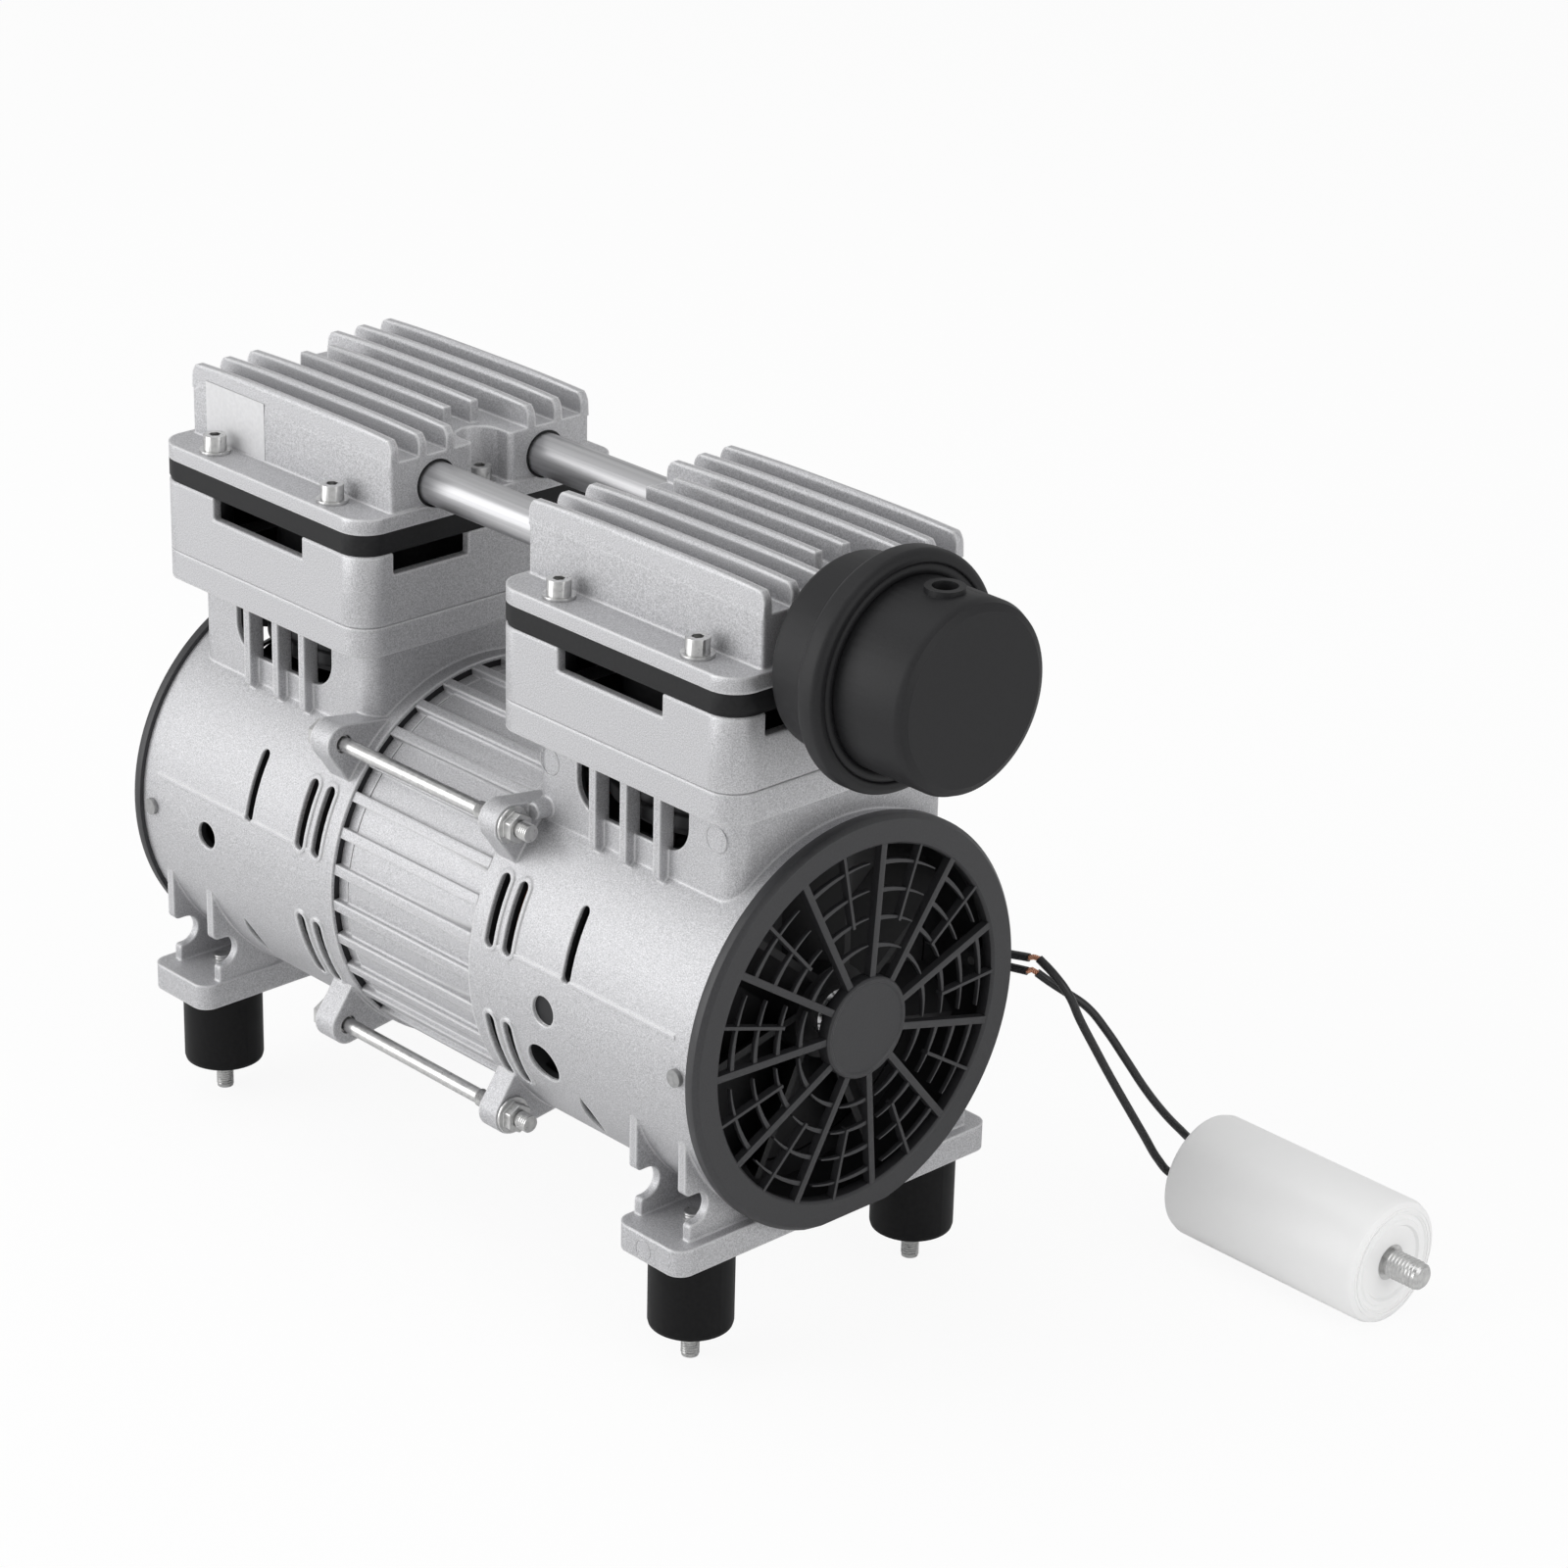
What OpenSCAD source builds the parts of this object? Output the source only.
// Oil-free twin-cylinder vacuum pump with a finned head over each end of its motor.
// X runs along the motor shaft, +X towards the silencer; the foot studs stand on z = 0.

/* [Motor and barrels] */
// Height of the motor shaft above the tips of the foot studs
axis_z = 98.2; // [97:0.1:102]
// Outer radius of the two cast barrels
barrel_r = 61; // [60:0.25:62]
// Wall of the barrels
barrel_wall = 3.2; // [2.6:0.1:3.4]
// Distance from the middle of the pump to the inner end of a barrel
barrel_in_x = 32; // [31:0.25:33]
// Distance from the middle of the pump to the outer end of a barrel
barrel_out_x = 126.4; // [126:0.1:132]
// Number of flat ribs round the motor frame
frame_ribs = 33; // [24:1:36]
// Diameter of the shaft
shaft_d = 15; // [12:0.5:16]
// Outer diameter of the two shaft bearings
main_bearing_d = 35; // [32:0.5:38]
// Width of the two shaft bearings
main_bearing_w = 11; // [9:0.5:12]

/* [Cylinders] */
// Distance from a barrel's outer end to the cylinder's axis
cyl_in = 47.1; // [46:0.1:48]
// Bore of the cylinder sleeves
bore_d = 63; // [62:0.5:66]
// Stroke of the pistons
stroke = 14; // [10:0.5:14]
// Wall of the cylinder sleeves
sleeve_wall = 2.6; // [2:0.1:3]
// Length of the cylinder boxes and heads along the shaft
box_w = 99; // [97:0.5:100]
// Depth of the cylinder boxes and heads across the shaft
box_d = 100; // [99:0.5:106]
// Corner radius of the boxes and head flanges
box_r = 9; // [6:0.5:10]
// Length of a neck along the shaft
neck_w = 84; // [80:0.5:86]
// Depth of a neck across the shaft
neck_d = 82; // [80:0.5:86]
// Height of the underside of the lip above the shaft
lip_up = 72.8; // [72:0.1:76]
// Height of the lip on top of a neck
lip_h = 9; // [8:0.5:11]
// Height of a cylinder box
box_h = 22.3; // [22:0.1:26]
// Thickness of the head gaskets
gasket_t = 1.2; // [1:0.1:2]
// Thickness of the valve plates
valve_plate_t = 5.5; // [4:0.1:6]

/* [Heads] */
// Thickness of the head flanges
flange_t = 4.8; // [4:0.1:6]
// Depth of the finned block across the shaft
block_d = 75.4; // [74:0.2:77]
// Height of the block between the flange and the foot of the fins
block_h = 15.4; // [15:0.1:18]
// Height of the fins
fin_h = 7.7; // [7:0.1:12]
// Number of fins on each head
fin_count = 8; // [8:2:10]
// Thickness of the fins at the crest
fin_t = 2.6; // [2:0.1:3]
// How far the middle fins stop short of the head's ends
fin_back = 14; // [13.6:0.1:16]
// Half the distance between the screw rows along the shaft
screw_dx = 28.5; // [27:0.25:30]
// Distance of the corner screws from the long edges of a head
screw_in_y = 6.4; // [6:0.1:6.8]
// Distance of the two middle screws from the ends of a head
screw_in_x = 6.5; // [6.3:0.1:6.9]
// Diameter of the head screws
screw_d = 4; // [3.5:0.1:4.2]

/* [Tubes and silencer] */
// Outer diameter of the two transfer tubes
tube_d = 13; // [11:0.25:13.5]
// Half the distance between the transfer tubes
tube_y = 20.7; // [20:0.1:22]
// Height of the tubes above the face that the head flanges stand on
tube_up = 10.8; // [10.6:0.1:12]
// Radius of the silencer's body behind its collar
silencer_r = 28; // [26:0.5:29]
// Radius of the silencer's collar
collar_r = 34.2; // [32:0.1:36]
// Radius of the silencer's cap
cap_r = 27.3; // [25:0.1:28]
// Distance of the silencer's axis in front of the shaft
silencer_y = 14.4; // [14:0.1:16]
// Height of the silencer's axis above the underside of the head
silencer_up = 7.6; // [7.6:0.1:8]

/* [Grilles and fans] */
// Outer radius of the grilles
grille_r = 62.4; // [62.2:0.1:64]
// Radius of the grille opening
grille_open_r = 53.4; // [52:0.1:54.5]
// Thickness of the grille ring
grille_t = 4.2; // [4:0.1:6]
// Number of full spokes
spokes = 11; // [9:1:13]
// Number of fan blades
blades = 7; // [5:1:9]

/* [Tie rods and feet] */
// Distance of the tie rods in front of and behind the shaft
rod_y = 52.4; // [52:0.1:54]
// Height of the tie rods above and below the shaft
rod_dz = 46; // [45.5:0.1:47]
// Diameter of the tie rods
rod_d = 5; // [4:0.25:5.5]
// Distance from a barrel's outer end to the foot studs
foot_in = 15.65; // [14.9:0.05:17]
// Distance between the foot studs across the shaft
foot_pitch_y = 88.5; // [88:0.25:92]
// Diameter of the foot studs
stud_d = 5; // [4:0.25:5.5]
// Length of stud that shows below the rubber
stud_out = 10.5; // [8:0.5:11]
// Diameter of the rubber feet
foot_d = 25; // [22:0.5:26]
// Thickness of the foot pads
pad_t = 8.2; // [7.6:0.1:9]

/* [Leads and capacitor] */
// Diameter of the leads
lead_d = 2.6; // [2.2:0.1:2.8]
// Diameter of the capacitor
can_d = 38.7; // [36:0.1:42]
// Length of the capacitor
can_l = 73; // [60:0.5:80]
// Diameter of the capacitor's stud
can_stud_d = 8; // [6:0.5:8]

/* [Hidden] */
$fn = 64;
eps = 0.01;
fit_gap = 0.03;    // radial gap of a shaft in its hole
seat_gap = 0.02;   // radial gap of a pressed or screwed seat

barrel_in_r = barrel_r - barrel_wall;
cyl_x = barrel_out_x - cyl_in;
shaft_r = shaft_d / 2;
throw = stroke / 2;
lip_z = axis_z + lip_up;
box_z = lip_z + lip_h;
gasket_z = box_z + box_h;
plate_z = gasket_z + gasket_t;
head_z = plate_z + valve_plate_t;
block_z = head_z + flange_t;
fin_z = block_z + block_h;
crest_z = fin_z + fin_h;

// Bearings, carriers, eccentrics and fans along the shaft
stator_l = 54;
stator_r = 51;
rotor_r = 32;
winding_l = 13;
carrier_x = barrel_in_x + 21;
carrier_t = 4;
boss_r = main_bearing_d / 2 + 3.5;
bearing_x = carrier_x + carrier_t - main_bearing_w - 0.5;
big_w = 10;
big_bearing_d = 55;
eccentric_r = shaft_r + throw + 3;
weight_x = cyl_x + big_w / 2 + 1.6;
weight_t = 8;
fan_x = barrel_out_x - 21.4;
fan_w = 14;
fan_r = barrel_in_r - 6;
shaft_end = fan_x + fan_w + 3;

// Piston, rod and sleeve
sleeve_r = bore_d / 2 + sleeve_wall;
sleeve_z = axis_z + 54;
cup_r = bore_d / 2 - throw - 0.6;
clamp_t = 2.4;
cup_t = 1.6;
crown_t = 6;
deck_gap = 1.6;
rod_eye_r = big_bearing_d / 2 + 5;
rod_l = gasket_z - deck_gap - clamp_t - cup_t - throw - axis_z;

// Head screws: the round ends and the inset of the finned block leave room round the middle ones
screw_dy = box_d / 2 - screw_in_y;
notch_dx = box_w / 2 - screw_in_x;
washer_t = 1;
inset_in = 1;
inset_out = 2;

// Feet: a bonded plate at each end of the rubber, the upper stud screwed up through the pad
pad_z = axis_z - barrel_r - 1.2;
foot_x = barrel_out_x - foot_in;
foot_y = foot_pitch_y / 2;
pad_w = 27.5;
pad_y = 61.7;
web_t = 2.8;
bond_r = foot_d / 2 - 4.5;
bond_t = 3;
upper_stud_r = stud_d / 2 - 0.05;

// Tie rods: the lugs of the right and the left housing, and the flanged nuts
lug_from = [barrel_in_x + 1.5, barrel_in_x + 3.5];
lug_to = [barrel_in_x + 9, barrel_in_x + 12];
lug_r = 6.1;
rod_r = rod_d / 2;
nut_t = 0.8 * rod_d;

// Transfer tubes and ports
tube_r = tube_d / 2;
tube_z = head_z + tube_up;
head_in_x = cyl_x - box_w / 2;
head_out_x = cyl_x + box_w / 2;
silencer_z = head_z + silencer_up;
nipple_r = 6;
silencer_x = head_out_x + 3.8;
collar_x = silencer_x + 19.2;
cap_x = collar_x + 6.8;
cap_end_x = cap_x + 24.4;

// Grommet for the motor leads, at the back of the right barrel
grommet_x = 96;
grommet_z = axis_z - 6;
grommet_out = barrel_r + 2.4;

// Capacitor lying on the floor, and the hand-chosen routes of the two leads
can_x = 157.4;
can_y = 122.5;
lead_a_in = [can_x, can_y - 5, 17];
lead_b_in = [can_x, can_y + 5, 24];
stub_a = [[grommet_x, grommet_out, grommet_z + 1.8], [grommet_x, 66, grommet_z + 1.8], [99, 69.5, 93.6],
    [105, 72, 93], [113, 74, 92], [123.4, 76.5, 92.9]];
stub_b = [[grommet_x, grommet_out, grommet_z - 1.8], [grommet_x, 66, grommet_z - 1.8], [98.5, 70, 89.6],
    [104.5, 73, 88.5], [113, 75, 87.5], [122, 77.5, 87.7]];
splice_a = [[123.4, 76.5, 92.9], [125, 76.8, 93.6], [126.8, 77, 93.6]];
splice_b = [[122, 77.5, 87.7], [122.8, 78.4, 88.2], [124, 79.6, 87.2]];
route_a = [[126.8, 77, 93.6], [132, 78, 90.2], [136.3, 80, 84.8], [137.8, 84, 75.8], [140, 89, 65.4],
    [142, 94, 55.5], [145.2, 99, 44.9], [147.4, 105, 33.9], [148.6, 111, 24], [150.2, 115.2, 18.6],
    [can_x - 2.5, can_y - 5, 17], lead_a_in];
route_b = [[124, 79.6, 87.2], [126.5, 82, 84.7], [130.9, 86, 80.9], [134.4, 91, 76.1], [138, 96, 68.2],
    [142, 101, 58.4], [145, 107, 47.9], [147.4, 113, 39.2], [148.8, 120, 31.2], [150.2, 125, 26],
    [can_x - 2.5, can_y + 5, 24], lead_b_in];

silver = [0.76, 0.76, 0.78];
steel = [0.66, 0.67, 0.69];
black = [0.09, 0.09, 0.1];

// Cylinder of radius r along X from x0 to x1, by default round the shaft
module xcyl(r, x0, x1, y = 0, z = axis_z) {
    translate([x0, y, z]) rotate([0, 90, 0]) cylinder(r = r, h = x1 - x0);
}

// Solid turned from a profile of [radius, x] points round the shaft
module turned(profile) {
    translate([0, 0, axis_z]) rotate([0, 90, 0]) rotate_extrude() polygon(profile);
}

module box_between(x0, x1, y0, y1, z0, z1) {
    translate([x0, y0, z0]) cube([x1 - x0, y1 - y0, z1 - z0]);
}

// Rectangle with true round corners
module rounded(w, d, r) {
    square([w - 2 * r, d], center = true);
    square([w, d - 2 * r], center = true);
    for (i = [-1, 1], j = [-1, 1]) translate([i * (w / 2 - r), j * (d / 2 - r)]) circle(r);
}

// Upright prism with round corners over the right cylinder's axis
module block(w, d, r, z0, z1) {
    translate([cyl_x, 0, z0]) linear_extrude(z1 - z0) rounded(w, d, r);
}

// The left end of the pump mirrors the right end
module at_side(side) {
    mirror([side < 0 ? 1 : 0, 0, 0]) children();
}

module both_y() {
    for (j = [0, 1]) mirror([0, j, 0]) children();
}

// Places a child on the barrel's front, angle up from level, with its Z pointing outwards
module on_barrel(x, angle, r = 0) {
    translate([x, 0, axis_z]) rotate([90 - angle, 0, 0]) translate([0, 0, r]) children();
}

// Upright slot with round ends through the front of a barrel, between two heights from the shaft
module front_slot(x, up, w, grow = 0) {
    width = w + 2 * grow;
    middle = (up[0] + up[1]) / 2;
    straight = up[1] - up[0] - w;
    translate([x, -30, axis_z + middle]) rotate([90, 0, 0]) linear_extrude(40) {
        square([width, straight], center = true);
        for (j = [-1, 1]) translate([0, j * straight / 2]) circle(width / 2);
    }
}

// The six screw places of a head: four at the corners, and one in the middle of each end
module corner_places() {
    for (i = [-1, 1], j = [-1, 1]) translate([cyl_x + i * screw_dx, j * screw_dy, 0]) children();
}

module end_places() {
    for (i = [-1, 1]) translate([cyl_x + i * notch_dx, 0, 0]) children();
}

module screw_places() {
    corner_places() children();
    end_places() children();
}

module rod_places() {
    for (i = [-1, 1], j = [-1, 1]) translate([0, i * rod_y, axis_z + j * rod_dz]) children();
}

module foot_places() {
    for (i = [-1, 1], j = [-1, 1]) translate([i * foot_x, j * foot_y, 0]) children();
}

// Hexagon of a nut or bolt head along Z, by its width across flats
module hexagon(flats, h) {
    cylinder(d = flats / cos(30), h = h, $fn = 6);
}

// Housings
slot_x = [barrel_in_x + 8.4, barrel_in_x + 16.2];
slot_up = [[10, 31], [-33, -11]];
slot_w = 4;
vent_x = cyl_x - 5.8;

// Point where a line from p touches a circle, on the side given by turn
function touch(p, c, r, turn) =
    let (d = norm(p - c), a = atan2(p[1] - c[1], p[0] - c[0]) + turn * acos(r / d))
    c + r * [cos(a), sin(a)];

// Triangular lug that carries a tie rod, drawn in the plane across the shaft
module lug(end) {
    c = [rod_y, rod_dz];
    low = barrel_r * [cos(32.6), sin(32.6)];
    high = barrel_r * [cos(56.5), sin(56.5)];
    root = (barrel_r - 2) * [cos(44), sin(44)];
    translate([lug_from[end], 0, axis_z]) rotate([90, 0, 90]) linear_extrude(lug_to[end] - lug_from[end]) {
        polygon([root, 0.97 * low, touch(low, c, lug_r - 0.06, 1), c, touch(high, c, lug_r - 0.06, -1),
            0.97 * high]);
        translate(c) circle(lug_r);
    }
}

// Hook-shaped web between the barrel and a foot pad, drawn in the plane across the shaft
module foot_web(x) {
    edge = barrel_r - 4.2;
    foot_edge = edge - 2.2;
    r = 4.8;
    top = axis_z - sqrt(barrel_r * barrel_r - edge * edge) + 1.5;
    scoop = [-edge + 4.2, pad_z + pad_t + 10];
    high = scoop[1] + r;
    low = scoop[1] - r;
    foot_top = pad_z + pad_t - 1;
    translate([x, 0, 0]) rotate([90, 0, 90]) linear_extrude(web_t) difference() {
        union() {
            translate([-edge, high + 2]) square([edge - 20, top - high - 2]);
            translate([2 - edge, high]) square([edge - 22, 3]);
            translate([2 - edge, high + 2]) circle(2);
            translate([scoop[0], low - 2]) square([-scoop[0] - 20, 2 * r + 3]);
            translate([-foot_edge, foot_top]) square([foot_edge - 20, low - 1 - foot_top]);
            translate([1 - foot_edge, foot_top]) square([foot_edge - 21, low - foot_top]);
            translate([1 - foot_edge, low - 1]) circle(1);
        }
        translate(scoop) circle(r);
    }
}

// Cross bar with a pad at both ends and two webs over each pad
module foot_bracket() {
    translate([foot_x, 0, pad_z]) linear_extrude(pad_t) rounded(pad_w, 2 * pad_y, 5);
    both_y() {
        foot_web(foot_x - 13);
        foot_web(foot_x + 7.4);
    }
}

module neck_window() {
    r = 9;
    half = 23.5;
    z0 = axis_z + 53.3;
    for (i = [-1, 1]) translate([cyl_x + i * (half - r), -neck_d / 2 - 1, z0 + r]) rotate([-90, 0, 0])
        cylinder(r = r, h = 8);
    box_between(cyl_x - half, cyl_x + half, -neck_d / 2 - 1, -neck_d / 2 + 7, z0 + r, lip_z - 2);
    box_between(cyl_x - half + r, cyl_x + half - r, -neck_d / 2 - 1, -neck_d / 2 + 7, z0, z0 + r + 1);
}

// Ribs that stand in front of the neck windows, with sloped feet
module window_ribs() {
    front = -neck_d / 2 - 3.4;
    for (dx = [-13, 0, 14]) translate([cyl_x + dx - 1.3, 0, axis_z]) rotate([90, 0, 90]) linear_extrude(2.6)
        polygon([[front + 5.4, 43.5], [front + 2, 43.5], [front, 45.5], [front, lip_up + 0.5],
            [front + 5.4, lip_up + 0.5]]);
}

// Conical boss on the front of the right neck
module neck_boss() {
    translate([cyl_x - neck_w / 2 + 5.7, 2 - neck_d / 2, axis_z + 49]) rotate([90, 0, 0])
        cylinder(r1 = 3.2, r2 = 2.5, h = 7.3);
}

// Ring with four arms that the sleeve stands in
module sleeve_seat() {
    difference() {
        intersection() {
            block(neck_w - 4, neck_d - 4, 5, sleeve_z + 3, sleeve_z + 7);
            union() {
                translate([cyl_x, 0, sleeve_z]) cylinder(r = sleeve_r + 3.5, h = 10);
                for (a = [45, 135]) translate([cyl_x, 0, sleeve_z + 5]) rotate([0, 0, a])
                    cube([neck_w + neck_d, 7, 9], center = true);
            }
        }
        translate([cyl_x, 0, sleeve_z - 1]) cylinder(r = sleeve_r + seat_gap, h = 12);
    }
}

// Wall across the barrel that holds a shaft bearing, with air openings round it
module bearing_carrier() {
    difference() {
        union() {
            xcyl(barrel_in_r + 0.5, carrier_x, carrier_x + carrier_t);
            xcyl(boss_r, carrier_x + carrier_t - main_bearing_w - 2, carrier_x + carrier_t);
        }
        xcyl(main_bearing_d / 2 + seat_gap, bearing_x, carrier_x + carrier_t + 1);
        xcyl(main_bearing_d / 2 - 3, bearing_x - 5, carrier_x + carrier_t + 1);
        for (k = [0:5]) translate([0, 0, axis_z]) rotate([60 * k, 0, 0])
            translate([carrier_x - 1, 0, (boss_r + barrel_in_r) / 2]) rotate([0, 90, 0])
                cylinder(r = 13.5, h = carrier_t + 2);
    }
}

// Raised rims round the paired slots
module slot_rims() {
    intersection() {
        xcyl(barrel_r + 0.5, barrel_in_x + 2, barrel_in_x + 25);
        both_y() for (x = slot_x, up = slot_up) front_slot(x, up, slot_w, 1.1);
    }
}

// Lens-shaped opening, cut by two crossing cylinders
module lens_hole(x, angle) {
    length = 17.8;
    width = 4.6;
    r = (length * length + width * width) / (4 * width);
    on_barrel(x, angle, barrel_r - 12) intersection() {
        translate([r - width / 2, 0, 0]) cylinder(r = r, h = 20);
        translate([width / 2 - r, 0, 0]) cylinder(r = r, h = 20);
    }
}

module barrel_cuts(side) {
    both_y() {
        for (x = slot_x, up = slot_up) front_slot(x, up, slot_w);
        front_slot(vent_x, [10.5, 32], 3.6);
        on_barrel(barrel_out_x - 5, 0, barrel_in_r - 2) cylinder(r = 1.6, h = 10);
    }
    lens_hole(side < 0 ? cyl_x + 4.7 : cyl_x - 5.3, -34.5);
    mirror([0, 1, 0]) lens_hole(cyl_x - 5.3, -34.5);
    if (side < 0) on_barrel(cyl_x + 14.5, -0.7, barrel_in_r - 4) cylinder(r = 4.3, h = 10);
    if (side > 0) {
        on_barrel(cyl_x - 14.4, -1, barrel_r - 1.4) cylinder(r = 4.6, h = 5);
        on_barrel(cyl_x - 17.8, -19, barrel_in_r - 6) cylinder(r = 6.4, h = 14);
        translate([grommet_x, barrel_in_r - 3, grommet_z]) rotate([-90, 0, 0])
            cylinder(r = 4.5 + seat_gap, h = 8);
    }
}

module housing(side) color(silver) at_side(side) difference() {
    end = side > 0 ? 0 : 1;
    union() {
        difference() {
            union() {
                xcyl(barrel_r, barrel_in_x, barrel_out_x);
                block(neck_w, neck_d, 6, axis_z, lip_z + 1);
                block(box_w, box_d, box_r, lip_z, box_z);
                foot_bracket();
                slot_rims();
                both_y() {
                    lug(end);
                    translate([0, 0, 2 * axis_z]) mirror([0, 0, 1]) lug(end);
                    on_barrel((barrel_in_x + barrel_out_x) / 2, 10.5, barrel_r - 0.3)
                        cube([barrel_out_x - barrel_in_x - 14, 1.2, 1.4], center = true);
                }
            }
            xcyl(barrel_in_r, barrel_in_x - 1, barrel_out_x + 1);
            block(neck_w - 6, neck_d - 6, 4, axis_z, box_z + 1);
            both_y() neck_window();
        }
        bearing_carrier();
        sleeve_seat();
        both_y() window_ribs();
        if (side > 0) neck_boss();
    }
    barrel_cuts(side);
    corner_places() translate([0, 0, lip_z - 1]) cylinder(r = screw_d / 2 + seat_gap, h = lip_h + 2);
    end_places() translate([0, 0, lip_z + 1]) cylinder(r = screw_d / 2 + seat_gap, h = lip_h);
    for (i = [-1, 1], j = [-1, 1]) xcyl(rod_r + 0.35, barrel_in_x, barrel_in_x + 14,
        i * rod_y, axis_z + j * rod_dz);
    for (j = [-1, 1]) translate([foot_x, j * foot_y, pad_z - 1])
        cylinder(r = upper_stud_r + seat_gap, h = pad_t + 2);
}

// Motor frame: a narrow band at the left end, a slit, panels and flat ribs, with a spigot at each end
module motor_frame() color(silver) {
    panel_r = barrel_in_r + 0.6;
    band_r = barrel_in_r + 0.1;
    band_x = 4.2 - barrel_in_x;
    spigot_x = barrel_in_x + 4;
    spigot_r = barrel_in_r - seat_gap;
    slit_r = barrel_in_r - 2.4;
    turned([[stator_r + seat_gap, -spigot_x], [spigot_r, -spigot_x], [spigot_r, -barrel_in_x],
        [band_r, -barrel_in_x], [band_r, band_x], [slit_r, band_x], [slit_r, band_x + 0.8],
        [panel_r, band_x + 0.8], [panel_r, barrel_in_x - 0.8], [slit_r, barrel_in_x - 0.8],
        [slit_r, barrel_in_x], [spigot_r, barrel_in_x], [spigot_r, spigot_x],
        [stator_r + seat_gap, spigot_x]]);
    rib_w = 3.2;
    rib_l = 2 * barrel_in_x - 0.9;
    for (k = [0:frame_ribs - 1]) on_barrel(0, 8.6 + k * 360 / frame_ribs, slit_r - 1)
        translate([0.1 - barrel_in_x, -rib_w / 2, 0]) cube([rib_l, rib_w, barrel_r - slit_r + 0.3]);
}

module stator_core() color(steel) difference() {
    xcyl(stator_r, -stator_l / 2, stator_l / 2);
    xcyl(rotor_r + 0.4, -stator_l / 2 - 1, stator_l / 2 + 1);
    for (k = [0:23]) translate([0, 0, axis_z]) rotate([15 * k, 0, 0])
        translate([-stator_l / 2 - 1, -1.5, rotor_r]) cube([stator_l + 2, 3, stator_r - rotor_r - 8]);
}

module stator_windings() color([0.7, 0.36, 0.2]) for (s = [0, 1]) mirror([s, 0, 0]) {
    x0 = stator_l / 2;
    x1 = x0 + winding_l;
    out = stator_r - 1.5;
    in = stator_r - 15;
    turned([[in, x0], [out - 1.5, x0], [out, x0 + 2], [out, x1 - 3], [out - 2.5, x1], [in + 2, x1],
        [in, x1 - 3]]);
}

module tie_rods() color(steel) rod_places() translate([-lug_to[1], 0, 0]) rotate([0, 90, 0]) {
    span = lug_to[0] + lug_to[1];
    cylinder(r = rod_r, h = lug_to[1] - lug_from[1] - 1);
    cylinder(r = 0.9 * rod_r, h = span);
    translate([0, 0, span - 7]) cylinder(r = rod_r, h = 15.6);
    translate([0, 0, -3.5]) hexagon(1.6 * rod_d, 3.5 + eps);
}

module tie_rod_nuts() color(steel) rod_places() translate([lug_to[0], 0, 0]) rotate([0, 90, 0])
    difference() {
        union() {
            cylinder(r = 1.15 * rod_d, h = 1.2);
            translate([0, 0, 1]) hexagon(1.6 * rod_d, nut_t - 1);
        }
        translate([0, 0, -1]) cylinder(r = rod_r + seat_gap, h = nut_t + 2);
    }

// Cylinder box: thin walls, a post at each screw and air windows under the gasket
module cylinder_box(side) color(silver) at_side(side) difference() {
    wall = 3.2;
    window_z = gasket_z - 6.8;
    half_window = box_w / 2 - 27.8;
    union() {
        difference() {
            block(box_w, box_d, box_r, box_z, gasket_z);
            block(box_w - 2 * wall, box_d - 2 * wall, box_r - wall, box_z - 1, gasket_z + 1);
            both_y() {
                box_between(cyl_x - half_window, cyl_x + half_window, -box_d / 2 - 1,
                    -box_d / 2 + wall + 1, window_z, gasket_z + 1);
                for (s = [-1, 1]) box_between(cyl_x + s * box_w / 2 - 4, cyl_x + s * box_w / 2 + 4,
                    12.3 - box_d / 2, -9.5, window_z, gasket_z + 1);
            }
        }
        intersection() {
            block(box_w - 1, box_d - 1, box_r - 0.5, box_z, gasket_z);
            screw_places() translate([0, 0, box_z]) cylinder(r = 5, h = box_h);
        }
    }
    screw_places() translate([0, 0, box_z - 1]) cylinder(r = screw_d / 2 + 0.2, h = box_h + 2);
}

module cylinder_sleeve(side) color(steel) at_side(side) difference() {
    union() {
        translate([cyl_x, 0, sleeve_z]) cylinder(r = sleeve_r, h = gasket_z - sleeve_z);
        translate([cyl_x, 0, sleeve_z + 7]) cylinder(r = sleeve_r + 1.5, h = 3);
    }
    translate([cyl_x, 0, sleeve_z - 1]) cylinder(d = bore_d, h = gasket_z - sleeve_z + 2);
}

module head_gasket(side) color(black) at_side(side) difference() {
    block(box_w - 0.8, box_d - 0.8, box_r, gasket_z, plate_z);
    translate([cyl_x, 0, gasket_z - 1]) cylinder(d = bore_d - 1, h = 4);
    screw_places() translate([0, 0, gasket_z - 1]) cylinder(r = screw_d / 2 + 0.2, h = 4);
}

// Rows of valve holes: intake behind the shaft plane, outlet in front of it
module valve_holes(z0, z1) {
    for (dx = [-9, 0, 9], j = [-1, 1]) translate([cyl_x + dx, j * 13, z0]) cylinder(r = 2.6, h = z1 - z0);
}

module valve_plate(side) color(black) at_side(side) difference() {
    block(box_w, box_d, box_r, plate_z, head_z);
    valve_holes(plate_z - 1, head_z + 1);
    screw_places() translate([0, 0, plate_z - 1]) cylinder(r = screw_d / 2 + 0.2, h = valve_plate_t + 2);
}

// Spring steel reeds: the intake reed lies under the plate, the outlet reed on top of it
module valve_reeds(side) color(steel) at_side(side) for (j = [-1, 1]) {
    z0 = j < 0 ? head_z : plate_z - 0.4;
    translate([cyl_x, j * 13, z0]) linear_extrude(0.4) {
        rounded(27, 9, 3);
        translate([17, 0]) rounded(12, 6, 2);
    }
}

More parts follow.
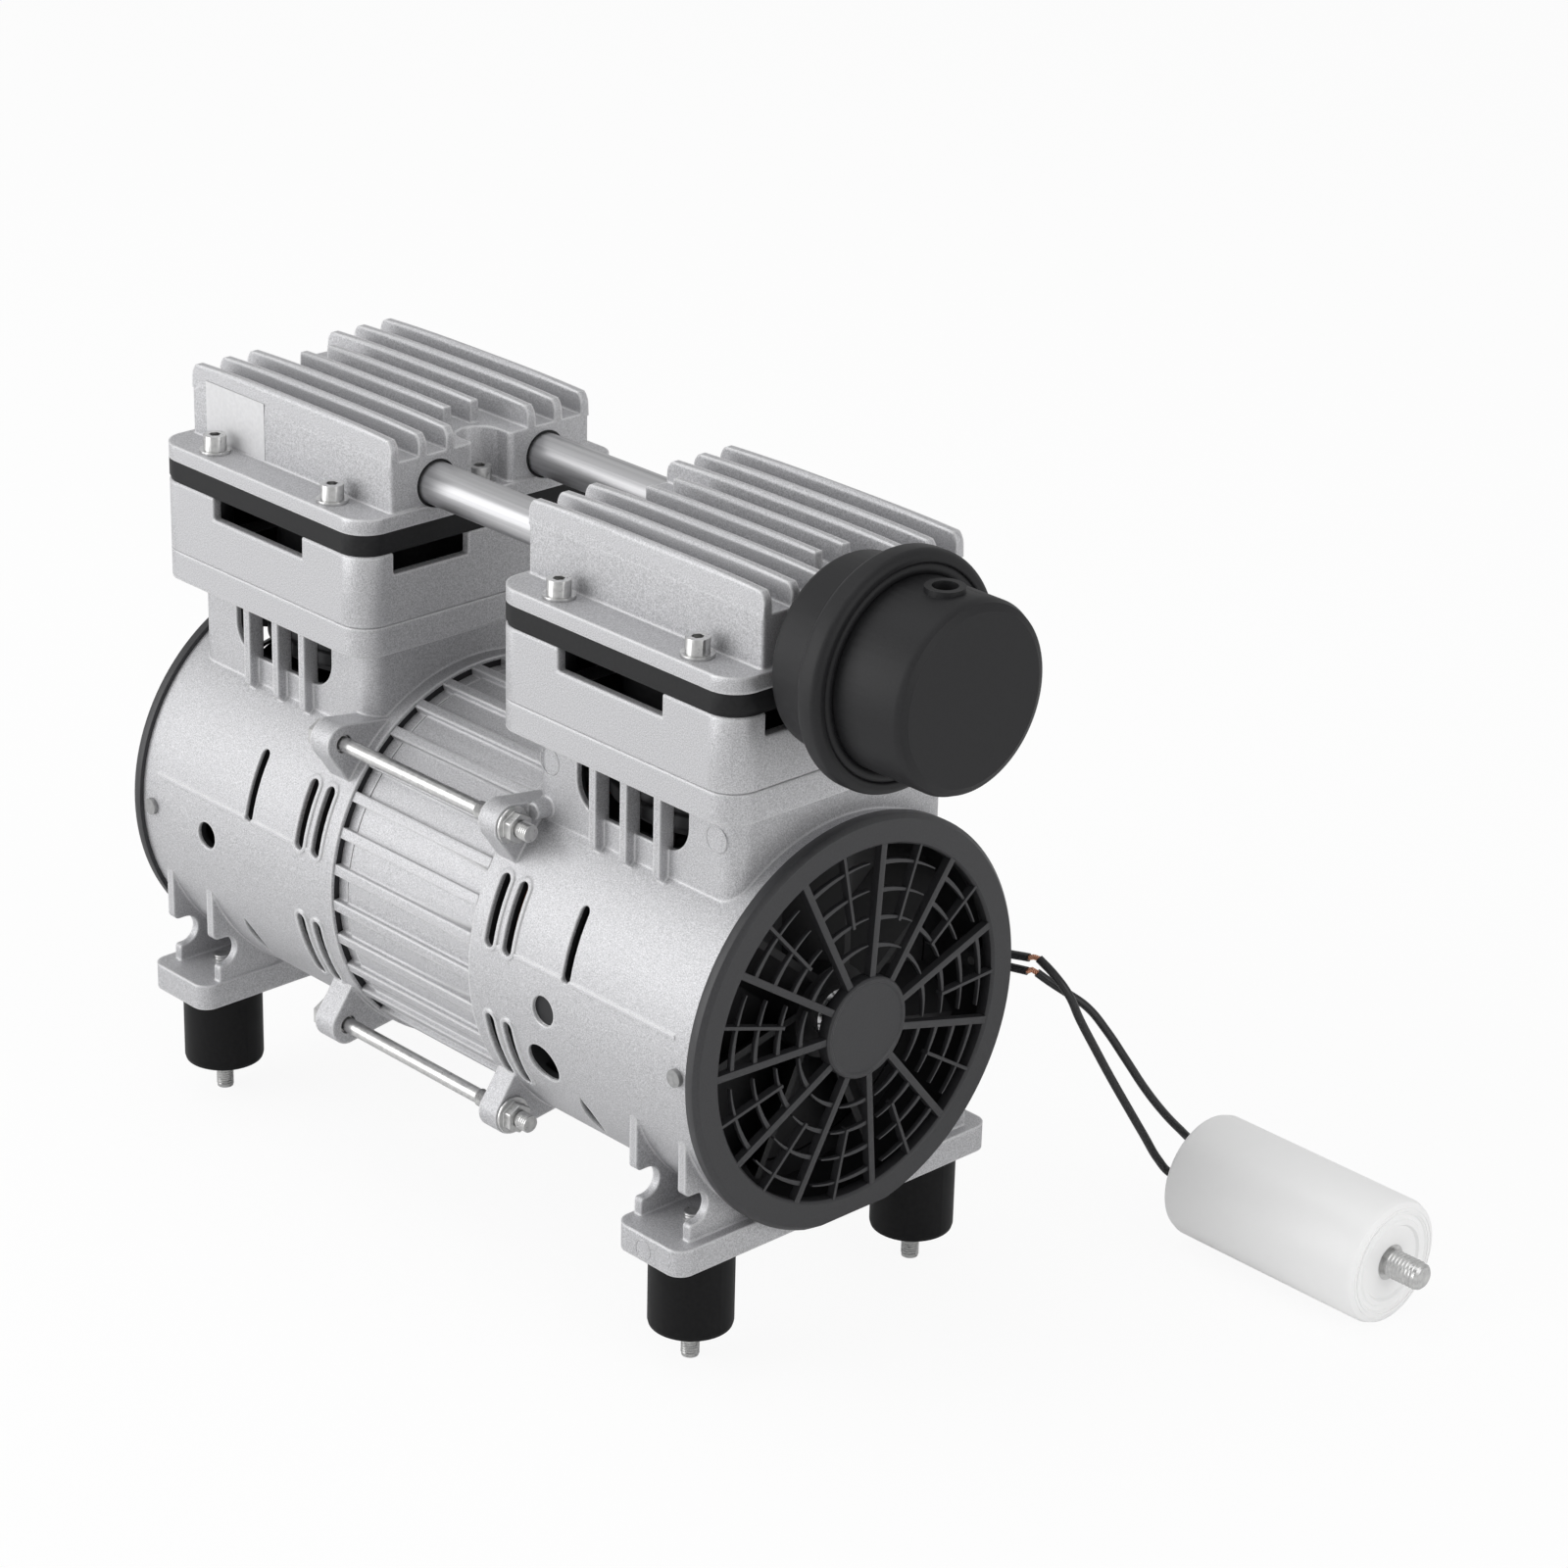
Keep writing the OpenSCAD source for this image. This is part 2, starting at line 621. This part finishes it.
// Comb of fins seen along the shaft: tapered, with round crests
module fin_comb() {
    pitch = (block_d - fin_t - 0.6) / (fin_count - 1);
    for (k = [0:fin_count - 1]) translate([(k - (fin_count - 1) / 2) * pitch, 0]) {
        polygon([[-fin_t / 2 - 0.3, -1], [fin_t / 2 + 0.3, -1], [fin_t / 2, fin_h - fin_t / 2],
            [-fin_t / 2, fin_h - fin_t / 2]]);
        translate([0, fin_h - fin_t / 2]) circle(fin_t / 2);
    }
}

// Side view of the fins: a slightly arched crest that rounds down at both ends
module fin_outline(length) {
    r = 5;
    arch = 1000;
    intersection() {
        union() {
            translate([-length / 2, -1]) square([length, fin_h - r + 1]);
            translate([-length / 2 + r, -1]) square([length - 2 * r, fin_h + 1]);
            for (s = [-1, 1]) translate([s * (length / 2 - r), fin_h - r]) circle(r);
        }
        translate([0, fin_h - arch - 0.15]) circle(arch, $fn = 720);
    }
}

// Plan of the pocket for a middle screw: a round end, and soft corners where it opens at the block's end
module pocket_plan(reach, soft) {
    r = 7;
    circle(r);
    translate([0, -r]) square([reach + 1, 2 * r]);
    difference() {
        translate([reach - soft, -r - soft]) square([soft + 1, 2 * (r + soft)]);
        for (j = [-1, 1]) translate([reach - soft, j * (r + soft)]) circle(soft);
    }
}

module cylinder_head(side) color(silver) at_side(side) difference() {
    mid = (block_d - fin_t - 0.6) / (fin_count - 1);
    length = box_w - inset_in - inset_out;
    middle_x = (inset_in - inset_out) / 2;
    union() {
        block(box_w, box_d, box_r, head_z, block_z);
        translate([middle_x, 0, 0]) block(length, block_d, 1, block_z - 1, fin_z);
        translate([cyl_x + middle_x, 0, fin_z]) intersection() {
            translate([-length / 2, 0, 0]) rotate([90, 0, 90]) linear_extrude(length) fin_comb();
            translate([0, block_d, 0]) rotate([90, 0, 0]) linear_extrude(2 * block_d) fin_outline(length);
        }
    }
    // The middle fins stop short, over a round pocket for the middle screw
    for (s = [-1, 1]) {
        box_between(cyl_x + s * (box_w / 2 - fin_back / 2) - fin_back / 2 - 1,
            cyl_x + s * (box_w / 2 - fin_back / 2) + fin_back / 2 + 1, -mid, mid, fin_z, crest_z + 1);
        translate([cyl_x + s * notch_dx, 0, block_z]) mirror([s < 0 ? 1 : 0, 0, 0]) linear_extrude(30)
            pocket_plan(screw_in_x - (s < 0 ? inset_in : inset_out), s < 0 ? 1.5 : 0.7);
    }
    // Intake chamber behind, outlet chamber in front
    for (j = [-1, 1]) translate([cyl_x, j * block_d / 4 - j, head_z - 1])
        linear_extrude(block_h + flange_t - 3) rounded(66, block_d / 2 - 7, 4);
    for (j = [-1, 1]) {
        xcyl(tube_r + 0.05, head_in_x - 1, head_in_x + 8, j * tube_y, tube_z);
        xcyl(tube_r + 0.8 + seat_gap, head_in_x - 1, head_in_x + inset_in + 2, j * tube_y, tube_z);
        xcyl(tube_r - 1.6, head_in_x, cyl_x - 30, j * tube_y, tube_z);
    }
    if (side > 0) xcyl(nipple_r + seat_gap, cyl_x + 30, head_out_x + 1, -silencer_y, silencer_z);
    if (side < 0) xcyl(5.9, cyl_x + 30, head_out_x + 1, tube_y, tube_z);
    screw_places() translate([0, 0, head_z - 1]) cylinder(r = screw_d / 2 + 0.2, h = flange_t + 2);
}

// Socket screw with its washer, its tip at a given height
module head_screw(tip) {
    top = block_z + washer_t;
    head_h = 4.6;
    translate([0, 0, block_z]) cylinder(r = 1.2 * screw_d, h = washer_t);
    difference() {
        union() {
            translate([0, 0, tip]) cylinder(d = screw_d, h = top - tip + 1);
            translate([0, 0, top - eps]) cylinder(d = 1.75 * screw_d, h = head_h);
        }
        translate([0, 0, top + head_h - 2.4]) hexagon(0.8 * screw_d, 3);
    }
}

module head_screws(side) color(steel) at_side(side) {
    corner_places() head_screw(lip_z - 1.8);
    end_places() head_screw(lip_z + 2);
}

module transfer_tube(side) color([0.8, 0.8, 0.82]) difference() {
    reach = head_in_x + 7;
    xcyl(tube_r, -reach, reach, side * tube_y, tube_z);
    xcyl(tube_r - 1.5, -reach - 1, reach + 1, side * tube_y, tube_z);
}

module tube_seals() color(black) for (s = [0, 1], j = [-1, 1]) mirror([s, 0, 0])
    translate([head_in_x + inset_in, j * tube_y, tube_z]) rotate([0, 90, 0]) difference() {
        cylinder(r = tube_r + 0.8, h = 2);
        translate([0, 0, -1]) cylinder(r = tube_r + fit_gap, h = 4);
    }

// Profile turned round the silencer's own axis
module silencer_turned(profile) {
    translate([0, -silencer_y, silencer_z]) rotate([0, 90, 0]) rotate_extrude() polygon(profile);
}

module silencer_body() color(black) {
    bore = 4;
    silencer_turned([[bore, head_out_x - 10], [nipple_r, head_out_x - 10], [nipple_r, silencer_x],
        [silencer_r - 3, silencer_x], [silencer_r, silencer_x + 3], [silencer_r, collar_x - 4],
        [collar_r - 1, collar_x - 1], [collar_r, collar_x], [collar_r, cap_x - 1.5],
        [collar_r - 1.5, cap_x], [collar_r - 4, cap_x], [collar_r - 4, collar_x + 2], [silencer_r - 2, collar_x + 2],
        [silencer_r - 2, silencer_x + 4], [bore, silencer_x + 4]]);
}

module silencer_cap() color(black) {
    in_r = cap_r - 2;
    lip = collar_r - 4 - seat_gap;
    difference() {
        union() {
            silencer_turned([[0, cap_end_x - 2], [in_r, cap_end_x - 2], [in_r, collar_x + 2.5],
                [lip, collar_x + 2.5], [lip, cap_x - 2.5], [cap_r, cap_x - 2.5], [cap_r, cap_end_x - 3],
                [cap_r - 0.9, cap_end_x - 0.9], [cap_r - 3, cap_end_x], [0, cap_end_x]]);
            translate([cap_x + 12, -silencer_y, silencer_z + cap_r - 2]) cylinder(r = 5.6, h = 3.2);
        }
        translate([cap_x + 12, -silencer_y, silencer_z + cap_r - 5]) cylinder(r = 3.6, h = 8);
    }
}

// Felt ring that the air leaves through
module silencer_felt() color([0.82, 0.8, 0.74]) {
    outer = cap_r - 5;
    inner = 0.3 * cap_r;
    silencer_turned([[inner, silencer_x + 4], [outer, silencer_x + 4], [outer, cap_end_x - 2],
        [inner, cap_end_x - 2]]);
}

// Thin cone between hub and ring, cut by the pattern of spokes and of tapering arcs
module grille_web() {
    hub_r = 0.245 * grille_r;
    half_spoke_r = 0.505 * grille_r;
    face_x = barrel_out_x + grille_t;
    turn = 360 / spokes;
    sweep = 0.84 * turn;
    intersection() {
        turned([[hub_r - 2, face_x], [hub_r - 2, face_x + 2.4], [grille_open_r + 1, face_x - 0.4],
            [grille_open_r + 1, face_x - 3]]);
        translate([face_x - 6, 0, axis_z]) rotate([90, 0, 90]) linear_extrude(12) {
            for (k = [0:spokes - 1]) rotate(180 + k * turn)
                translate([hub_r - 3, -1.1]) square([grille_open_r - hub_r + 5, 2.2]);
            for (k = [0:spokes - 1]) rotate(180 + (k + 0.5) * turn)
                translate([half_spoke_r, -0.5]) square([grille_open_r - half_spoke_r + 2, 1]);
        }
    }
    intersection() {
        turned([[hub_r - 2, face_x + 0.4], [hub_r - 2, face_x + 1.8], [grille_open_r + 1, face_x - 1],
            [grille_open_r + 1, face_x - 2.4]]);
        translate([face_x - 6, 0, axis_z]) rotate([90, 0, 90]) linear_extrude(12)
            for (k = [0:spokes - 1]) rotate(180 + k * turn) intersection() {
                for (n = [1:4]) difference() {
                    r = hub_r + (grille_open_r - hub_r) * (0.017 + 0.212 * n);
                    circle(r + 0.7);
                    translate([0, -2.2]) circle(r - 0.7);
                }
                polygon([[0, 0], [60, 0], [60 * cos(sweep), -60 * sin(sweep)]]);
            }
    }
}

module grille(side) color(black) at_side(side) {
    hub_r = 0.245 * grille_r;
    face_x = barrel_out_x + grille_t;
    difference() {
        turned([[grille_open_r, barrel_out_x], [grille_r, barrel_out_x], [grille_r, face_x - 1.4],
            [grille_r - 1.4, face_x], [grille_open_r + 0.8, face_x], [grille_open_r, face_x - 0.8]]);
        box_between(barrel_out_x - 1, face_x + 1, -grille_r, grille_r, 0, axis_z - 59.7);
    }
    turned([[0, face_x - 1], [hub_r, face_x - 1], [hub_r, face_x + 2.6], [hub_r - 0.6, face_x + 3.2],
        [hub_r - 1.4, face_x + 3.2], [hub_r - 2, face_x + 2.8], [0, face_x + 2.8]]);
    grille_web();
    // Tabs inside the barrel that the side screws enter
    both_y() difference() {
        intersection() {
            turned([[barrel_in_r - 4, barrel_out_x - 10], [barrel_in_r - 0.1, barrel_out_x - 10],
                [barrel_in_r - 0.1, barrel_out_x + 1], [barrel_in_r - 4, barrel_out_x + 1]]);
            box_between(barrel_out_x - 11, barrel_out_x + 2, -barrel_r, 0, axis_z - 6, axis_z + 6);
        }
        on_barrel(barrel_out_x - 5, 0, barrel_in_r - 8) cylinder(r = 1.3, h = 10);
    }
}

module grille_screws() color(steel) for (s = [-1, 1]) at_side(s) both_y()
    on_barrel(barrel_out_x - 5, 0, 0) {
        translate([0, 0, barrel_in_r - 4]) cylinder(r = 1.28, h = barrel_wall + 5);
        translate([0, 0, barrel_r]) cylinder(r = 2.6, h = 1.4);
    }

// Cooling fan: a hub on the shaft and slanted blades
module fan(side) color([0.16, 0.16, 0.17]) at_side(side) {
    hub_r = 14;
    mid = fan_x + fan_w / 2;
    difference() {
        xcyl(hub_r, fan_x, fan_x + fan_w);
        xcyl(shaft_r + seat_gap, fan_x - 1, fan_x + fan_w + 1);
    }
    intersection() {
        difference() {
            xcyl(fan_r, fan_x, fan_x + fan_w);
            xcyl(hub_r - 1, fan_x - 1, fan_x + fan_w + 1);
        }
        for (k = [0:blades - 1]) translate([mid, 0, axis_z]) rotate([k * 360 / blades, 0, 0])
            rotate([0, 0, 38]) translate([-20, -0.9, hub_r - 2]) cube([40, 1.8, fan_r - hub_r + 6]);
    }
}

module shaft() color(steel) turned([[0, -shaft_end], [shaft_r - 0.8, -shaft_end],
    [shaft_r, -shaft_end + 0.8], [shaft_r, shaft_end - 0.8], [shaft_r - 0.8, shaft_end], [0, shaft_end]]);

module rotor_core() color([0.5, 0.5, 0.52]) difference() {
    xcyl(rotor_r, -stator_l / 2, stator_l / 2);
    xcyl(shaft_r + seat_gap, -stator_l / 2 - 1, stator_l / 2 + 1);
}

// Cast end rings with short air vanes
module rotor_cage() color([0.78, 0.79, 0.8]) for (s = [0, 1]) mirror([s, 0, 0]) {
    x0 = stator_l / 2;
    turned([[20, x0], [rotor_r - 1, x0], [rotor_r - 1, x0 + 5], [rotor_r - 2, x0 + 6], [20, x0 + 6]]);
    for (k = [0:7]) translate([0, 0, axis_z]) rotate([45 * k, 0, 0])
        translate([x0 + 5, -1, 22]) cube([6, 2, 8]);
}

// Shielded ball bearing, closed by a thin shield on both sides
module bearing(outer_r, bore_r, w) {
    land = (outer_r - bore_r) / 4;
    rotate([0, 90, 0]) rotate_extrude() polygon([[bore_r, 0.4], [bore_r + 0.4, 0], [bore_r + land, 0],
        [bore_r + land, 0.5], [outer_r - land, 0.5], [outer_r - land, 0], [outer_r - 0.4, 0],
        [outer_r, 0.4], [outer_r, w - 0.4], [outer_r - 0.4, w], [outer_r - land, w],
        [outer_r - land, w - 0.5], [bore_r + land, w - 0.5], [bore_r + land, w],
        [bore_r + 0.4, w], [bore_r, w - 0.4]]);
}

module main_bearing(side) color(steel) at_side(side)
    translate([bearing_x, 0, axis_z]) bearing(main_bearing_d / 2, shaft_r + fit_gap, main_bearing_w);

// Eccentric journal with its counterweight; the right crank stands up, the left one down
module eccentric(side) color(steel) at_side(side) difference() {
    pin_z = axis_z + side * throw;
    union() {
        xcyl(eccentric_r, cyl_x - big_w / 2 - 0.6, weight_x, 0, pin_z);
        xcyl(shaft_r + 5, cyl_x - big_w / 2 - 4, cyl_x - big_w / 2 - 0.5);
        intersection() {
            xcyl(36, weight_x - 0.6, weight_x + weight_t);
            box_between(weight_x - 1, weight_x + weight_t + 1, -40, 40,
                side > 0 ? axis_z - 40 : axis_z - 4, side > 0 ? axis_z + 4 : axis_z + 40);
        }
    }
    xcyl(shaft_r + seat_gap, cyl_x - 30, cyl_x + 40);
}

module big_end_bearing(side) color(steel) at_side(side)
    translate([cyl_x - big_w / 2, 0, axis_z + side * throw])
        bearing(big_bearing_d / 2, eccentric_r + fit_gap, big_w);

// One-piece rod and piston, as a wobble piston has; the shank is an I section
module connecting_rod(side) color([0.72, 0.73, 0.75]) at_side(side)
    translate([cyl_x, 0, axis_z + side * throw]) difference() {
        crown_z = rod_l - crown_t;
        union() {
            translate([-big_w / 2, 0, 0]) rotate([0, 90, 0]) cylinder(r = rod_eye_r, h = big_w);
            translate([-big_w / 2, 0, 0]) rotate([90, 0, 90]) linear_extrude(big_w)
                polygon([[-16, 20], [16, 20], [10, crown_z + 1], [-10, crown_z + 1]]);
            translate([0, 0, crown_z]) cylinder(r = cup_r - 0.3, h = crown_t);
            translate([0, 0, crown_z - 4]) cylinder(r1 = 11, r2 = cup_r - 4, h = 4 + eps);
        }
        for (s = [0, 1]) mirror([s, 0, 0]) translate([2, 0, 0]) rotate([90, 0, 90]) linear_extrude(6)
            polygon([[-9, rod_eye_r + 3], [9, rod_eye_r + 3], [6.5, crown_z - 7], [-6.5, crown_z - 7]]);
        translate([-big_w, 0, 0]) rotate([0, 90, 0])
            cylinder(r = big_bearing_d / 2 + seat_gap, h = 2 * big_w);
        translate([0, 0, crown_z - 1]) cylinder(r = 2.5 + seat_gap, h = crown_t + 2);
    }

module piston_cup(side) color([0.3, 0.27, 0.24]) at_side(side)
    translate([cyl_x, 0, axis_z + side * throw + rod_l]) difference() {
        union() {
            cylinder(r = cup_r, h = cup_t);
            difference() {
                cylinder(r = cup_r, h = cup_t + 2);
                translate([0, 0, cup_t]) cylinder(r = cup_r - 1.2, h = 4);
            }
        }
        translate([0, 0, -1]) cylinder(r = 2.6, h = 5);
    }

module piston_clamp(side) color(steel) at_side(side)
    translate([cyl_x, 0, axis_z + side * throw + rod_l]) {
        translate([0, 0, cup_t]) cylinder(r = cup_r - 1.6, h = clamp_t);
        translate([0, 0, -crown_t + 0.5]) cylinder(r = 2.5, h = crown_t + cup_t);
    }

module rubber_feet() color(black) foot_places() difference() {
    translate([0, 0, stud_out]) rotate_extrude() polygon([[0, 0], [foot_d / 2 - 1.2, 0],
        [foot_d / 2 - 0.3, 0.5], [foot_d / 2, 1.6], [foot_d / 2, pad_z - stud_out], [0, pad_z - stud_out]]);
    translate([0, 0, stud_out - 1]) cylinder(r = bond_r + seat_gap, h = bond_t + 1);
    translate([0, 0, pad_z - bond_t]) cylinder(r = bond_r + seat_gap, h = bond_t + 1);
}

module foot_studs() color(steel) foot_places() {
    cylinder(d = stud_d, h = stud_out + eps);
    translate([0, 0, stud_out]) cylinder(r = bond_r, h = bond_t);
    translate([0, 0, pad_z - bond_t]) cylinder(r = bond_r, h = bond_t);
    translate([0, 0, pad_z - eps]) cylinder(r = upper_stud_r, h = pad_t + 2.3);
}

module lead_grommet() color(black) translate([grommet_x, 0, grommet_z]) rotate([-90, 0, 0]) {
    translate([0, 0, barrel_in_r - 3]) cylinder(r = 4.5, h = grommet_out - barrel_in_r + 3);
    translate([0, 0, barrel_r]) cylinder(r = 6, h = grommet_out - barrel_r);
}

// Tube along a route: rings of eight points, half-way rings added on a smooth curve, ends cut square
function unit(v) = v / norm(v);
function smooth(p) = [for (i = [0:2 * len(p) - 2])
    let (k = floor(i / 2), n = len(p) - 1)
    i % 2 == 0 ? p[k] : (9 * (p[k] + p[k + 1]) - p[max(k - 1, 0)] - p[min(k + 2, n)]) / 16];
module tube(route, d) {
    p = smooth(route);
    n = len(p);
    last = len(route) - 1;
    sides = 8;
    rings = [for (i = [0:n - 1])
        let (t = unit(i == 0 ? route[1] - route[0] : i == n - 1 ? route[last] - route[last - 1]
                : p[i + 1] - p[i - 1]),
            u = unit(cross(t, [0.6, 0.8, 0.1])), v = cross(t, u))
        for (k = [0:sides - 1]) p[i] + d / 2 * (cos(k * 360 / sides) * u + sin(k * 360 / sides) * v)];
    walls = [for (i = [0:n - 2], k = [0:sides - 1])
        let (a = i * sides + k, b = i * sides + (k + 1) % sides)
        each [[a, b, b + sides], [a, b + sides, a + sides]]];
    ends = [[for (k = [0:sides - 1]) sides - 1 - k], [for (k = [0:sides - 1]) (n - 1) * sides + k]];
    polyhedron(rings, concat(walls, ends), 10);
}

module motor_leads() color(black) {
    tube(stub_a, lead_d);
    tube(stub_b, lead_d);
}

module lead_splices() color([0.72, 0.45, 0.28]) {
    tube(splice_a, 0.7 * lead_d);
    tube(splice_b, 0.7 * lead_d);
}

module lead_a() color(black) tube(route_a, lead_d);

module lead_b() color(black) tube(route_b, lead_d);

// Turned round the capacitor's own axis, parallel to the shaft
module can_turned(profile) {
    translate([can_x, can_y, can_d / 2]) rotate([0, 90, 0]) rotate_extrude() polygon(profile);
}

module capacitor_can() color([0.93, 0.93, 0.92]) difference() {
    r = can_d / 2;
    can_turned([[0, 0], [r - 2.2, 0], [r - 0.6, 0.7], [r, 2.4], [r, can_l - 2.4], [r - 0.6, can_l - 0.7],
        [r - 2.2, can_l], [r - 4, can_l], [r - 4.4, can_l - 0.5], [r - 5.6, can_l - 0.5], [r - 6, can_l],
        [r - 7.4, can_l], [r - 8, can_l - 0.8], [0, can_l - 0.8]]);
    can_turned([[0, can_l - 5], [can_stud_d / 2 + 1.5 + seat_gap, can_l - 5],
        [can_stud_d / 2 + 1.5 + seat_gap, can_l + 1], [0, can_l + 1]]);
}

module capacitor_stud() color(steel) {
    r = can_stud_d / 2;
    can_turned([[0, can_l - 5], [r + 1.5, can_l - 5], [r + 1.5, can_l - 0.8], [r, can_l - 0.8],
        [r, can_l + 10.7], [r - 0.8, can_l + 11.5], [0, can_l + 11.5]]);
}

housing(-1);  // housing_left
housing(1);  // housing_right
motor_frame();
stator_core();
stator_windings();
tie_rods();
tie_rod_nuts();
cylinder_box(-1);  // cylinder_box_left
cylinder_box(1);  // cylinder_box_right
cylinder_sleeve(-1);  // cylinder_sleeve_left
cylinder_sleeve(1);  // cylinder_sleeve_right
head_gasket(-1);  // head_gasket_left
head_gasket(1);  // head_gasket_right
valve_plate(-1);  // valve_plate_left
valve_plate(1);  // valve_plate_right
valve_reeds(-1);  // valve_reeds_left
valve_reeds(1);  // valve_reeds_right
cylinder_head(-1);  // cylinder_head_left
cylinder_head(1);  // cylinder_head_right
head_screws(-1);  // head_screws_left
head_screws(1);  // head_screws_right
transfer_tube(-1);  // transfer_tube_front
transfer_tube(1);  // transfer_tube_rear
tube_seals();
silencer_body();
silencer_cap();
silencer_felt();
grille(-1);  // grille_left
grille(1);  // grille_right
grille_screws();
fan(-1);  // fan_left
fan(1);  // fan_right
shaft();
rotor_core();
rotor_cage();
main_bearing(-1);  // main_bearing_left
main_bearing(1);  // main_bearing_right
eccentric(-1);  // eccentric_left
eccentric(1);  // eccentric_right
connecting_rod(-1);  // connecting_rod_left
connecting_rod(1);  // connecting_rod_right
big_end_bearing(-1);  // big_end_bearing_left
big_end_bearing(1);  // big_end_bearing_right
piston_cup(-1);  // piston_cup_left
piston_cup(1);  // piston_cup_right
piston_clamp(-1);  // piston_clamp_left
piston_clamp(1);  // piston_clamp_right
rubber_feet();
foot_studs();
lead_grommet();
motor_leads();
lead_splices();
lead_a();
lead_b();
capacitor_can();
capacitor_stud();
